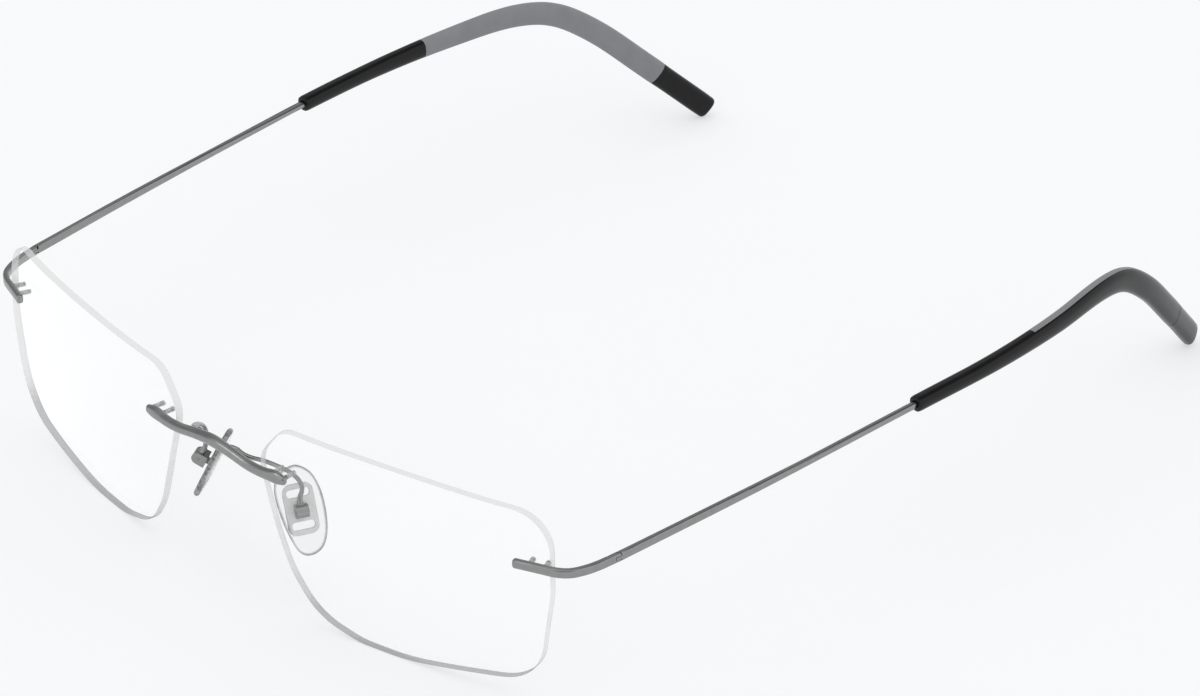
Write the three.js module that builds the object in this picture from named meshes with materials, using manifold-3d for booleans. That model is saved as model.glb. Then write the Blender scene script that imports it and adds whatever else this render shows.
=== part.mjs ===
// Rimless eyeglasses: two drilled lenses hung on a sculpted bridge and two end pieces by pairs of
// studs in plastic sleeves, folding wire temples with two-tone tips, and nose pads that rock.
import * as THREE from "three";
import { mergeVertices } from "three/addons/utils/BufferGeometryUtils.js";
import Module from "manifold-3d";

const wasm = await Module();
wasm.setup();

// ---- Driving dimensions, in millimetres and degrees ------------------------------------------
// +X is the wearer's left, -Y the front and +Z up. Z = 0 is the table the glasses stand on. All
// side pieces are drawn for the wearer's left and mirrored for the right.

// A lens is a slice of a spherical shell. Its own axes are u outwards, v upwards and h forwards
// from the front surface, with the origin at the middle of that surface.
const LENS_CENTRE = [35.26, 0, 16.72];
const LENS_WRAP = 12.2; // each lens turns back towards the temple
const LENS_TILT = 2.77; // and its lower edge leans towards the face
const LENS_BASE_RADIUS = 150;
const LENS_THICKNESS = 1.2;
const LENS_SHEET = [28, 18.5]; // half width and half height of the shell it is cut from
const LENS_CORNERS = [
  // u, v and the radius that rounds the corner
  [-0.4, 16.95, 260],
  [-21.9, 16.1, 5.2],
  [-26.6, 9.95, 5.1],
  [-23.2, -1.75, 36],
  [-20.95, -8.2, 16],
  [-16.45, -14.85, 10.6],
  [-8.5, -16.8, 11],
  [0.4, -16.8, 40],
  [23.4, -13.3, 8.9],
  [26.05, 3, 17.3],
  [25.85, 15.95, 6.5],
];
const DRILL_SIDES = 14; // of the holes for the sleeves
const STUD_SIDES = 10;
const PIN_SIDES = 16;

const STUD_RADIUS = 0.2;
const SLEEVE_RADIUS = 0.38;
const SLEEVE_STUB = 0.72; // how far a sleeve stands out behind the lens
const FIT_GAP = 0.03; // between pieces that are pressed or glued together
const BRIDGE_STUDS = [
  [-20.75, 8.5],
  [-23.12, 8.5],
];
const END_STUDS = [
  [22.4, 7.54],
  [24.9, 7.54],
];

// Bridge: centre line from the nose to the lens, then along the lens front to its fat end.
const BRIDGE_SPAN = [
  [0, -4.62, 26.2],
  [4, -4.58, 25.78],
  [7.6, -4.5, 25.14],
  [10.6, -4.35, 25.02],
];
const BRIDGE_ON_LENS = [-22.4, -21.2, -20.05]; // u of its centre line on the lens
const BRIDGE_V = 8.35;
const BRIDGE_STANDOFF = 0.82; // its centre line in front of the lens
const BRIDGE_EXPONENT = 2.3; // of the superellipse it has for a cross-section
const BRIDGE_RINGS = 18; // in each half
const BRIDGE_SECTIONS = [
  // share of the half span, then depth and height of the cross-section
  [0, 1.83, 1.83],
  [0.25, 1.65, 1.67],
  [0.4, 1.56, 1.6],
  [0.65, 1.5, 1.66],
  [0.78, 1.48, 1.8],
  [0.88, 1.42, 1.84],
  [0.95, 1.25, 1.46],
  [0.985, 0.9, 0.95],
  [1, 0.45, 0.45],
];

// End piece: a bar on the lens front that bends back round the lens edge to the hinge.
const END_PIECE_ON_LENS = [20.52, 22.3, 24.6]; // u of its centre line on the lens
const END_PIECE_V = 7.66;
const END_PIECE_STANDOFF = 0.56;
const END_PIECE_BEND = [
  [61.25, 7.45, 24.4],
  [62.85, 8.8, 24.38],
  [63.85, 10.7, 24.47],
  [64.5, 12.9, 24.6],
];
const BAR_DEPTH = 1;
const BAR_HEIGHT = 1.42;
const BAR_EXPONENT = 5;
const BAR_RINGS = 22;
const BAR_END_ROUNDING = 0.4;
const BAR_END_EXPONENT = 4;

// Hinge: a vertical pin inside the bar. The end piece keeps an ear above and below the slot, and
// the temple keeps the tongue between them.
const HINGE = [65, 16.4, 24.78];
const HINGE_RADIUS = BAR_DEPTH / 2;
const HINGE_GAP = 0.05;
const FOLD_RELIEF = 1.6; // length filed flat in front of the pin, where the folded temple rests
const TONGUE_HEIGHT = 0.5;
const HINGE_PIN_RADIUS = 0.22;

// Temple: the wire and its tip share one centre line, which runs back, bends down behind the ear
// and ends on the table. The tip starts where the wire enters its sleeve.
const TEMPLE_LINE = [
  HINGE,
  [66.3, 36, 25.52],
  [67.35, 56, 26.22],
  [68.08, 77, 27.06],
  [68.3, 95, 27.42],
  [67.2, 110, 27.7],
  [65.25, 121.6, 27.86],
  [63.55, 129, 26.3],
  [61.6, 137, 20.95],
  [58.7, 145.8, 12.6],
  [54.35, 157.35, 1.22],
];
const TIP_START = 76.4; // Y of the places along the temple
const RIBBON_FROM = 17.4; // the bar flattens into a ribbon, which then turns into a round wire
const RIBBON_FULL = 20.4;
const RIBBON_END = 24.4;
const WIRE_ROUND_FROM = 57;
const WIRE_END = 100;
const WIRE_DIAMETER = 1.21;
const RIBBON_WIDTH = 0.86;
const WIRE_RINGS = 26;
const INLAY_START = 103.6;
const CAP_START = 148.6;
const TIP_SECTIONS = [
  // Y, then width and height of the cross-section
  [TIP_START, 2.45, 2.5],
  [90, 2.45, 2.62],
  [102, 2.35, 3.05],
  [112, 2.3, 3.5],
  [122, 2.3, 3.85],
  [130, 2.35, 4],
  [CAP_START, 2.4, 4.08],
];
const TIP_EXPONENT = 2.5;
const TIP_RING_SPACING = 3.6;
const CAP_WIDTH = 2.34;
const CAP_HEIGHT = 3.96;
const CAP_END_ROUNDING = 0.7;
const CAP_END_TAPER = 0.8; // its end narrows by this share of the rounding
const CAP_RINGS = 5;
const BORE_CLEARANCE = 0.06;
const BORE_OVERRUN = 0.5; // the bore goes on past the end of the wire
const PARTING_OFFSET = 0.45; // the grey half wraps this far over the middle of the top
const PARTING_GAP = 0.02;
const PARTING_RINGS = 24;

// Nose pad: its own axes are p across, q up and n towards the nose, with the origin in the middle
// of the pad behind its insert.
const PAD_CENTRE = [9.84, 4, 14.66];
const PAD_FACING = [-0.788, 0.445, -0.426];
const PAD_UP = [-0.407, 0.145, 0.903];
const PAD_BACK = -0.35; // n of its flat back
const PAD_RIM = 0.48; // radius of its rounded rim
const PAD_DOME = 0.25; // rise of the side that rests on the nose, from the rim to the middle
const PAD_RIM_RINGS = 6;
const PAD_DOME_SHARES = [0.8, 0.6, 0.4, 0.2]; // size of the rings over the dome
const PAD_OUTLINE_POINTS = 52;
const PAD_OUTLINE = [
  [-0.4, 6.9],
  [-2.4, 5.5],
  [-3.5, 2.9],
  [-3.85, -0.4],
  [-3.5, -3.9],
  [-2.4, -6.4],
  [-0.5, -7.3],
  [1.15, -6.8],
  [2.05, -5],
  [2.95, -1.9],
  [3.45, 1.6],
  [3.3, 4.3],
  [2.1, 6.1],
];
const INSERT_SIZE = [4.8, 7.9];
const INSERT_CORNER = 1.35;
const INSERT_THICKNESS = 0.45;
const WINDOW_SIZE = [3.6, 1.25];
const WINDOW_OFFSET = 2.5;
const WINDOW_CORNER = 0.6;
const POCKET_GAP = 0.04;

// Box on the pad arm: the boss of the insert sits in it on a cross pin.
const BOX_WIDTH = 1.9;
const BOX_HEIGHT = 2.1;
const BOX_CORNER = 1;
const BOX_BACK = -3.2;
const BOX_MOUTH = -0.85;
const BOX_WALL = 0.35;
const BOX_P = 0.2; // the box and its pin sit this far before and below the middle of the pad
const BOX_Q = -0.1;
const BOSS_WIDTH = 1;
const BOSS_HEIGHT = 0.6;
const BOSS_RADIUS = 0.45;
const BOSS_ROOT = 0.1; // how deep its neck runs into the plate
const PAD_PIN_N = -2.1;
const PAD_PIN_RADIUS = 0.2;
const PAD_PIN_HEAD = 0.04; // how far it stands out on each side of the box
const PIN_CLEARANCE = 0.02;
const ARM_DIAMETER = 0.7;
const ARM_FLARE = 0.3; // growth of its radius where it meets the box
const ARM_FLARE_POWER = 24; // how late along the arm it grows
const ARM_RISE = 0.9; // of its last bend over the box
const ARM_LEAN = 0.05; // of that bend towards the pad
const ARM_RINGS = 22;
const ARM_SIDES = 12;
const ARM_LINE = [
  [4.2, -3.38, 25.85],
  [5.4, -3.2, 25.4],
  [6.6, -2.55, 25],
  [7.5, -1.35, 24.45],
  [8.8, 0.6, 23.15],
  [9.85, 2.3, 21.7],
  [10.5, 3.4, 20],
  [10.75, 3.62, 18.6],
];

const FAR = 5; // reaches past everything near a joint

// ---- Materials -------------------------------------------------------------------------------

const material = (color, roughness, metalness, opacity = 1) =>
  new THREE.MeshStandardMaterial({ color, roughness, metalness, opacity, transparent: opacity < 1 });
const TITANIUM = material(0x8e9090, 0.35, 1);
const LENS_CLEAR = material(0xf2f6f6, 0.02, 0, 0.15);
const SLEEVE_CLEAR = material(0xd8dada, 0.3, 0, 0.6);
const SILICONE = material(0xe6e7e6, 0.15, 0, 0.4);
const INSERT_GREY = material(0xb9bbba, 0.4, 0, 0.8);
const TIP_BLACK = material(0x0c0c0d, 0.3, 0);
const TIP_GREY = material(0x7d7e82, 0.45, 0);

// ---- Solids ----------------------------------------------------------------------------------

const v2 = (x, y) => new THREE.Vector2(x, y);
const v3 = (x, y, z) => new THREE.Vector3(x, y, z);
const UP = v3(0, 0, 1);

function solid(geometry) {
  const bare = new THREE.BufferGeometry();
  bare.setAttribute("position", geometry.getAttribute("position"));
  bare.setIndex(geometry.index);
  const merged = mergeVertices(bare, 1e-5);
  return new wasm.Manifold(
    new wasm.Mesh({
      numProp: 3,
      vertProperties: new Float32Array(merged.attributes.position.array),
      triVerts: new Uint32Array(merged.index.array),
    }),
  );
}

function geometryOf(body) {
  const mesh = body.getMesh();
  const geometry = new THREE.BufferGeometry();
  geometry.setAttribute("position", new THREE.BufferAttribute(mesh.vertProperties.slice(), 3));
  geometry.setIndex(new THREE.BufferAttribute(mesh.triVerts.slice(), 1));
  return geometry;
}

// A closed body through rings of equal length, with a flat cap at each end.
function loft(rings) {
  const count = rings[0].length;
  const points = rings.flat();
  const faces = [];
  for (let r = 0; r < rings.length - 1; r++) {
    for (let i = 0; i < count; i++) {
      const a = r * count + i;
      const b = r * count + ((i + 1) % count);
      faces.push(a, b, a + count, b, b + count, a + count);
    }
  }
  const addCap = (ring, flip) => {
    const centre = points.length;
    const sum = ring.reduce((total, p) => total.add(p), v3(0, 0, 0));
    points.push(sum.divideScalar(count));
    const start = flip ? 0 : (rings.length - 1) * count;
    for (let i = 0; i < count; i++) {
      const pair = [start + i, start + ((i + 1) % count)];
      faces.push(...(flip ? [pair[1], pair[0]] : pair), centre);
    }
  };
  addCap(rings[0], true);
  addCap(rings.at(-1), false);
  const geometry = new THREE.BufferGeometry().setFromPoints(points);
  geometry.setIndex(faces);
  return solid(geometry);
}

// A superellipse ring across a centre line: exponent 2 is an ellipse, and 4 is nearly a rectangle.
function ringAcross(centre, tangent, width, height, exponent) {
  const segments = 16;
  const side = v3().crossVectors(tangent, UP).normalize();
  const top = v3().crossVectors(side, tangent).normalize();
  const ring = [];
  for (let i = 0; i < segments; i++) {
    const angle = (-2 * Math.PI * i) / segments;
    const rounded = (value) => Math.sign(value) * Math.abs(value) ** (2 / exponent);
    const x = (width / 2) * rounded(Math.cos(angle));
    const y = (height / 2) * rounded(Math.sin(angle));
    ring.push(centre.clone().addScaledVector(side, x).addScaledVector(top, y));
  }
  return ring;
}

// Straight-line interpolation in rows of [position, ...values].
function valuesAt(rows, position) {
  const next = rows.findIndex((row) => row[0] >= position);
  if (next <= 0) return rows.at(next).slice(1);
  const [from, to] = [rows[next - 1], rows[next]];
  const share = (position - from[0]) / (to[0] - from[0]);
  return from.slice(1).map((value, i) => value + share * (to[i + 1] - value));
}

function curveThrough(points) {
  return new THREE.CatmullRomCurve3(points.map((p) => (p.isVector3 ? p : v3(...p))));
}

function cylinder(radius, length, segments = 20) {
  return new THREE.CylinderGeometry(radius, radius, length, segments);
}

// A cylinder from one point to another.
function rod(radius, from, to, segments = 20) {
  const along = to.clone().sub(from);
  const turn = new THREE.Quaternion().setFromUnitVectors(v3(0, 1, 0), along.clone().normalize());
  const geometry = cylinder(radius, along.length(), segments).applyQuaternion(turn);
  return solid(geometry.translate(...from.clone().add(to).divideScalar(2)));
}

function block(low, high) {
  const size = high.clone().sub(low);
  const geometry = new THREE.BoxGeometry(size.x, size.y, size.z);
  return solid(geometry.translate(...low.clone().add(high).divideScalar(2)));
}

function prism(shape, low, high) {
  const options = { depth: high - low, bevelEnabled: false, curveSegments: 6 };
  return solid(new THREE.ExtrudeGeometry(shape, options).translate(0, 0, low));
}

function roundedRectangle(width, height, radius) {
  const [x, y] = [width / 2, height / 2];
  const shape = new THREE.Shape();
  shape.absarc(x - radius, y - radius, radius, 0, Math.PI / 2);
  shape.absarc(radius - x, y - radius, radius, Math.PI / 2, Math.PI);
  shape.absarc(radius - x, radius - y, radius, Math.PI, 1.5 * Math.PI);
  shape.absarc(x - radius, radius - y, radius, 1.5 * Math.PI, 2 * Math.PI);
  return shape;
}

// ---- Lens ------------------------------------------------------------------------------------

const lensFrame = new THREE.Matrix4()
  .makeTranslation(...LENS_CENTRE)
  .multiply(new THREE.Matrix4().makeRotationZ(THREE.MathUtils.degToRad(LENS_WRAP)))
  .multiply(new THREE.Matrix4().makeRotationX(Math.PI / 2 + THREE.MathUtils.degToRad(LENS_TILT)));

// The point over the front surface at u, v and height h, in the lens's own axes.
function overLens(u, v, h) {
  const outward = v3(u, v, 0).divideScalar(LENS_BASE_RADIUS);
  outward.z = Math.sqrt(1 - outward.lengthSq());
  return outward.multiplyScalar(LENS_BASE_RADIUS + h).sub(v3(0, 0, LENS_BASE_RADIUS));
}

const nearLens = (u, v, h) => overLens(u, v, h).applyMatrix4(lensFrame);

// The lens outline: straight sides between the corners, each rounded by its own radius.
function lensOutline() {
  const outline = new THREE.Path();
  LENS_CORNERS.forEach(([u, v, radius], i) => {
    const corner = v2(u, v);
    const before = v2(...LENS_CORNERS.at(i - 1)).sub(corner).normalize();
    const after = v2(...LENS_CORNERS[(i + 1) % LENS_CORNERS.length]).sub(corner).normalize();
    const halfAngle = Math.acos(before.dot(after)) / 2;
    const centre = before.clone().add(after).setLength(radius / Math.sin(halfAngle)).add(corner);
    const reach = radius / Math.tan(halfAngle);
    const start = corner.clone().addScaledVector(before, reach).sub(centre).angle();
    const end = corner.clone().addScaledVector(after, reach).sub(centre).angle();
    outline.absarc(centre.x, centre.y, radius, start, end, false);
  });
  return outline;
}

function lensShell() {
  const [columns, rows] = [12, 8];
  const [halfWidth, halfHeight] = LENS_SHEET;
  const sheet = (h) => {
    const points = [];
    for (let r = 0; r <= rows; r++) {
      for (let c = 0; c <= columns; c++) {
        const u = halfWidth * ((2 * c) / columns - 1);
        const v = halfHeight * ((2 * r) / rows - 1);
        points.push(overLens(u, v, h));
      }
    }
    return points;
  };
  const front = sheet(0);
  const back = sheet(-LENS_THICKNESS);
  const at = (c, r) => r * (columns + 1) + c;
  const faces = [];
  const quad = (a, b, c, d) => faces.push(a, b, c, a, c, d);
  for (let r = 0; r < rows; r++) {
    for (let c = 0; c < columns; c++) {
      const [a, b, d, e] = [at(c, r), at(c + 1, r), at(c, r + 1), at(c + 1, r + 1)];
      quad(a, b, e, d);
      quad(a + front.length, d + front.length, e + front.length, b + front.length);
    }
  }
  const wall = (a, b) => quad(b, a, a + front.length, b + front.length);
  for (let c = 0; c < columns; c++) {
    wall(at(c, 0), at(c + 1, 0));
    wall(at(c + 1, rows), at(c, rows));
  }
  for (let r = 0; r < rows; r++) {
    wall(at(columns, r), at(columns, r + 1));
    wall(at(0, r + 1), at(0, r));
  }
  const geometry = new THREE.BufferGeometry().setFromPoints([...front, ...back]);
  geometry.setIndex(faces);
  return solid(geometry);
}

function lens() {
  const outline = new THREE.Shape(lensOutline().getPoints(4));
  let body = lensShell().intersect(prism(outline, -3 * FAR, FAR));
  for (const [u, v] of [...BRIDGE_STUDS, ...END_STUDS]) {
    const ends = [overLens(u, v, -FAR), overLens(u, v, FAR)];
    const hole = rod(SLEEVE_RADIUS + FIT_GAP, ...ends, DRILL_SIDES);
    body = body.subtract(hole);
  }
  return geometryOf(body).applyMatrix4(lensFrame);
}

// A sleeve lines its hole and stands out behind the lens.
function sleeve([u, v]) {
  const ends = [overLens(u, v, 0), overLens(u, v, -LENS_THICKNESS - SLEEVE_STUB)];
  const bore = rod(STUD_RADIUS + FIT_GAP, overLens(u, v, -FAR), overLens(u, v, FAR), STUD_SIDES);
  const body = rod(SLEEVE_RADIUS, ...ends, DRILL_SIDES).subtract(bore);
  return geometryOf(body).applyMatrix4(lensFrame);
}

// A stud reaches from inside the metal to the end of its sleeve.
function stud([u, v], standoff) {
  const back = nearLens(u, v, -LENS_THICKNESS - SLEEVE_STUB);
  return rod(STUD_RADIUS, nearLens(u, v, standoff), back, STUD_SIDES);
}

// ---- Bridge ----------------------------------------------------------------------------------

function bridge() {
  const onLens = BRIDGE_ON_LENS.map((u) => nearLens(u, BRIDGE_V, BRIDGE_STANDOFF));
  const left = [...BRIDGE_SPAN.map((p) => v3(...p)), ...onLens];
  const mirrored = left.slice(1).map((p) => v3(-p.x, p.y, p.z));
  const line = curveThrough([...mirrored.reverse(), ...left]);
  const rings = [];
  for (let i = -BRIDGE_RINGS; i <= BRIDGE_RINGS; i++) {
    const share = 1 - (1 - Math.abs(i) / BRIDGE_RINGS) ** 1.5; // closer at the ends
    const position = (1 + Math.sign(i) * share) / 2;
    const [depth, height] = valuesAt(BRIDGE_SECTIONS, share);
    const [centre, tangent] = [line.getPointAt(position), line.getTangentAt(position)];
    rings.push(ringAcross(centre, tangent, depth, height, BRIDGE_EXPONENT));
  }
  let body = loft(rings);
  for (const place of BRIDGE_STUDS) {
    const leftStud = stud(place, BRIDGE_STANDOFF);
    body = body.add(leftStud).add(leftStud.mirror([1, 0, 0]));
  }
  return geometryOf(body);
}

// ---- Hinge, end piece and temple wire --------------------------------------------------------

const hingeAt = v3(...HINGE);
const SHOULDER = HINGE_RADIUS + HINGE_GAP;

// A block given by its corners from the hinge axis.
const hingeBlock = (low, high) => block(low.add(hingeAt), high.add(hingeAt));

// What is left over between a square end and an end rounded about the pin, on the inner side.
function innerCorner(side) {
  const ys = [0, side * FAR].sort((a, b) => a - b);
  const quarter = hingeBlock(v3(-FAR, ys[0], -FAR), v3(0, ys[1], FAR));
  return quarter.subtract(hingeBore(HINGE_RADIUS, 2 * PIN_SIDES));
}

function hingeBore(radius, segments) {
  const reach = v3(0, 0, FAR + 1);
  return rod(radius, hingeAt.clone().sub(reach), hingeAt.clone().add(reach), segments);
}

function barRings(line, from, to, count, sizeAt) {
  const rings = [];
  for (let i = 0; i <= count; i++) {
    const position = from + ((to - from) * i) / count;
    const point = line.getPointAt(position);
    const [width, height, exponent] = sizeAt(point.y, position);
    rings.push(ringAcross(point, line.getTangentAt(position), width, height, exponent));
  }
  return rings;
}

function endPiece() {
  const onLens = END_PIECE_ON_LENS.map((u) => nearLens(u, END_PIECE_V, END_PIECE_STANDOFF));
  const end = hingeAt.clone().add(v3(0.03, HINGE_RADIUS, 0.02));
  const line = curveThrough([...onLens, ...END_PIECE_BEND.map((p) => v3(...p)), end]);
  const rings = barRings(line, 0, 1, BAR_RINGS, () => [BAR_DEPTH, BAR_HEIGHT, BAR_EXPONENT]);
  const [start, heading] = [line.getPointAt(0), line.getTangentAt(0)];
  const roundingSteps = 4;
  for (let i = 1; i <= roundingSteps; i++) {
    const angle = (Math.PI / 2) * (i / roundingSteps);
    const shrink = 2 * BAR_END_ROUNDING * (1 - Math.cos(angle));
    const centre = start.clone().addScaledVector(heading, -BAR_END_ROUNDING * Math.sin(angle));
    const [depth, height] = [BAR_DEPTH - shrink, BAR_HEIGHT - shrink];
    rings.unshift(ringAcross(centre, heading, depth, height, BAR_END_EXPONENT));
  }
  let body = loft(rings);
  for (const place of END_STUDS) body = body.add(stud(place, END_PIECE_STANDOFF));
  const slot = TONGUE_HEIGHT / 2 + HINGE_GAP;
  body = body.subtract(hingeBlock(v3(-FAR, -SHOULDER, -slot), v3(FAR, FAR, slot)));
  body = body.subtract(innerCorner(1));
  const filed = hingeBlock(v3(-FAR, -FOLD_RELIEF, -FAR), v3(-HINGE_RADIUS, 0, FAR));
  body = body.subtract(filed);
  return geometryOf(body.subtract(hingeBore(HINGE_PIN_RADIUS + PIN_CLEARANCE, PIN_SIDES)));
}

const templeLine = curveThrough(TEMPLE_LINE);

// The place on the temple's centre line at a given Y.
function templeAt(y) {
  let [low, high] = [0, 1];
  for (let i = 0; i < 40; i++) {
    const middle = (low + high) / 2;
    if (templeLine.getPointAt(middle).y < y) low = middle;
    else high = middle;
  }
  return low;
}

function templeWire() {
  const sizeAt = (y) => {
    const share = THREE.MathUtils.smoothstep(y, RIBBON_END, WIRE_ROUND_FROM);
    const width = THREE.MathUtils.lerp(RIBBON_WIDTH, WIRE_DIAMETER, share);
    const height = THREE.MathUtils.lerp(BAR_HEIGHT, WIRE_DIAMETER, share);
    const ribbon = THREE.MathUtils.smoothstep(y, RIBBON_FROM, RIBBON_FULL);
    const exponent = THREE.MathUtils.lerp(BAR_EXPONENT, 2, share);
    return [THREE.MathUtils.lerp(BAR_DEPTH, width, ribbon), height, exponent];
  };
  const rings = barRings(templeLine, 0, templeAt(WIRE_END), WIRE_RINGS, sizeAt);
  const [first, second] = [rings[0], rings[1]];
  const reach = HINGE_RADIUS / first[0].distanceTo(second[0]);
  rings.unshift(first.map((p, i) => p.clone().lerp(second[i], -reach)));
  let body = loft(rings);
  const tongue = TONGUE_HEIGHT / 2;
  body = body.subtract(hingeBlock(v3(-FAR, -FAR, tongue), v3(FAR, SHOULDER, FAR)));
  body = body.subtract(hingeBlock(v3(-FAR, -FAR, -FAR), v3(FAR, SHOULDER, -tongue)));
  body = body.subtract(innerCorner(-1));
  return geometryOf(body.subtract(hingeBore(HINGE_PIN_RADIUS + PIN_CLEARANCE, PIN_SIDES)));
}

function hingePin() {
  const reach = v3(0, 0, BAR_HEIGHT / 2 - HINGE_GAP);
  const [low, high] = [hingeAt.clone().sub(reach), hingeAt.clone().add(reach)];
  return geometryOf(rod(HINGE_PIN_RADIUS, low, high, PIN_SIDES));
}

// ---- Temple tip ------------------------------------------------------------------------------

// Rings of the tip between two places, closer together round the bend.
function tipRings(fromY, toY, spacing, sizeAt) {
  const [from, to] = [templeAt(fromY), templeAt(toY)];
  const count = Math.ceil(((to - from) * templeLine.getLength()) / spacing);
  return barRings(templeLine, from, to, count, sizeAt);
}

function tipSize(y) {
  const place = Math.min(Math.max(y, TIP_START), CAP_START);
  return [...valuesAt(TIP_SECTIONS, place), TIP_EXPONENT];
}

// A broad band along the inner side of the centre line, up to the given offset.
function innerBand(fromY, offset) {
  const [from, to] = [templeAt(fromY), 1];
  const rings = [];
  for (let i = 0; i <= PARTING_RINGS; i++) {
    const position = from + ((to - from) * i) / PARTING_RINGS;
    const centre = templeLine.getPointAt(position);
    const tangent = templeLine.getTangentAt(position);
    const side = v3().crossVectors(tangent, UP).normalize(); // outwards
    const top = v3().crossVectors(side, tangent).normalize();
    const corner = (x, y) => centre.clone().addScaledVector(side, x).addScaledVector(top, y);
    rings.push([corner(offset, FAR), corner(offset, -FAR), corner(-FAR, -FAR), corner(-FAR, FAR)]);
  }
  return loft(rings);
}

function tipBody() {
  return loft(tipRings(TIP_START, CAP_START - PARTING_GAP, TIP_RING_SPACING, tipSize));
}

function tipSleeve() {
  const size = WIRE_DIAMETER + 2 * BORE_CLEARANCE;
  const [from, to] = [TIP_START - BORE_OVERRUN, WIRE_END + BORE_OVERRUN];
  const bore = loft(tipRings(from, to, TIP_RING_SPACING, () => [size, size, 2]));
  const inner = innerBand(INLAY_START - PARTING_GAP, PARTING_OFFSET + PARTING_GAP);
  return geometryOf(tipBody().subtract(inner).subtract(bore));
}

function tipInlay() {
  return geometryOf(tipBody().intersect(innerBand(INLAY_START, PARTING_OFFSET)));
}

// The end cap: a plain length, then rings that shrink along a quarter circle.
function tipCap() {
  const start = templeAt(CAP_START + PARTING_GAP);
  const rounding = CAP_END_ROUNDING / templeLine.getLength();
  const rings = [];
  const addRing = (position, shrink) => {
    const [width, height] = [CAP_WIDTH - shrink, CAP_HEIGHT - shrink];
    const tangent = templeLine.getTangentAt(position);
    rings.push(ringAcross(templeLine.getPointAt(position), tangent, width, height, TIP_EXPONENT));
  };
  for (let i = 0; i < CAP_RINGS; i++) addRing(start + ((1 - rounding - start) * i) / CAP_RINGS, 0);
  for (let i = 0; i <= CAP_RINGS; i++) {
    const angle = (Math.PI / 2) * (i / CAP_RINGS);
    const shrink = 2 * CAP_END_TAPER * CAP_END_ROUNDING * (1 - Math.cos(angle));
    addRing(1 - rounding * (1 - Math.sin(angle)), shrink);
  }
  return geometryOf(loft(rings));
}

// ---- Nose pad and its arm --------------------------------------------------------------------

const padFrame = (() => {
  const facing = v3(...PAD_FACING).normalize();
  const across = v3().crossVectors(v3(...PAD_UP), facing).normalize();
  const up = v3().crossVectors(facing, across);
  return new THREE.Matrix4().makeBasis(across, up, facing).setPosition(...PAD_CENTRE);
})();

const PLATE_BACK = PAD_BACK + POCKET_GAP;
const PLATE_FRONT = PLATE_BACK + INSERT_THICKNESS;
const pinAt = (p) => v3(BOX_P + p, BOX_Q, PAD_PIN_N);

// Rings from the flat back, round the rim and over the dome.
function nosePad() {
  const outline = new THREE.SplineCurve([...PAD_OUTLINE, PAD_OUTLINE[0]].map((p) => v2(...p)));
  const points = outline.getPoints(PAD_OUTLINE_POINTS).slice(1);
  const ring = (resized, n) => points.map((p) => v3(...resized(p).toArray(), n));
  const rings = [];
  for (let i = 0; i <= PAD_RIM_RINGS; i++) {
    const angle = Math.PI * (i / PAD_RIM_RINGS);
    const inset = PAD_RIM * (1 - Math.sin(angle));
    const n = PAD_BACK + PAD_RIM * (1 - Math.cos(angle));
    rings.push(ring((p) => p.clone().setLength(p.length() - inset), n));
  }
  const rimTop = PAD_BACK + 2 * PAD_RIM;
  for (const share of PAD_DOME_SHARES) {
    const n = rimTop + PAD_DOME * (1 - share ** 2);
    rings.push(ring((p) => p.clone().multiplyScalar(share), n));
  }
  const [width, height] = INSERT_SIZE.map((size) => size + 2 * POCKET_GAP);
  const pocketShape = roundedRectangle(width, height, INSERT_CORNER + POCKET_GAP);
  const pocket = prism(pocketShape, -FAR, PLATE_FRONT + POCKET_GAP);
  return geometryOf(loft(rings).subtract(pocket)).applyMatrix4(padFrame);
}

function padInsert() {
  const plate = roundedRectangle(...INSERT_SIZE, INSERT_CORNER);
  let body = prism(plate, PLATE_BACK, PLATE_FRONT);
  for (const q of [-WINDOW_OFFSET, WINDOW_OFFSET]) {
    const window = prism(roundedRectangle(...WINDOW_SIZE, WINDOW_CORNER), -FAR, FAR);
    body = body.subtract(window.translate([0, q, 0]));
  }
  const half = v3(BOSS_WIDTH / 2, BOSS_HEIGHT / 2, 0);
  const root = v3(BOX_P, BOX_Q, PLATE_BACK + BOSS_ROOT);
  body = body.add(block(pinAt(0).sub(half), root.add(half)));
  body = body.add(rod(BOSS_RADIUS, pinAt(-half.x), pinAt(half.x), 2 * PIN_SIDES));
  return geometryOf(body.subtract(padPinHole())).applyMatrix4(padFrame);
}

function padPinHole() {
  return rod(PAD_PIN_RADIUS + PIN_CLEARANCE, pinAt(-FAR), pinAt(FAR), PIN_SIDES);
}

// The box seen from its side: flat at the mouth and rounded behind.
function boxShape(inset) {
  const height = BOX_HEIGHT / 2 - inset;
  const back = BOX_BACK + inset;
  const corner = BOX_CORNER - inset;
  const shape = new THREE.Shape();
  shape.moveTo(-height, inset ? 0 : BOX_MOUTH);
  shape.lineTo(-height, back + corner);
  shape.absarc(corner - height, back + corner, corner, Math.PI, 1.5 * Math.PI);
  shape.absarc(height - corner, back + corner, corner, 1.5 * Math.PI, 2 * Math.PI);
  shape.lineTo(height, inset ? 0 : BOX_MOUTH);
  return shape;
}

// The box profile lies in q and n, and is drawn out along p.
function boxSolid(inset) {
  const half = BOX_WIDTH / 2 - inset;
  const toPad = new THREE.Matrix4().makeBasis(v3(0, 1, 0), v3(0, 0, 1), v3(1, 0, 0));
  const geometry = geometryOf(prism(boxShape(inset), -half, half));
  return solid(geometry.applyMatrix4(toPad).translate(BOX_P, BOX_Q, 0));
}

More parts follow.
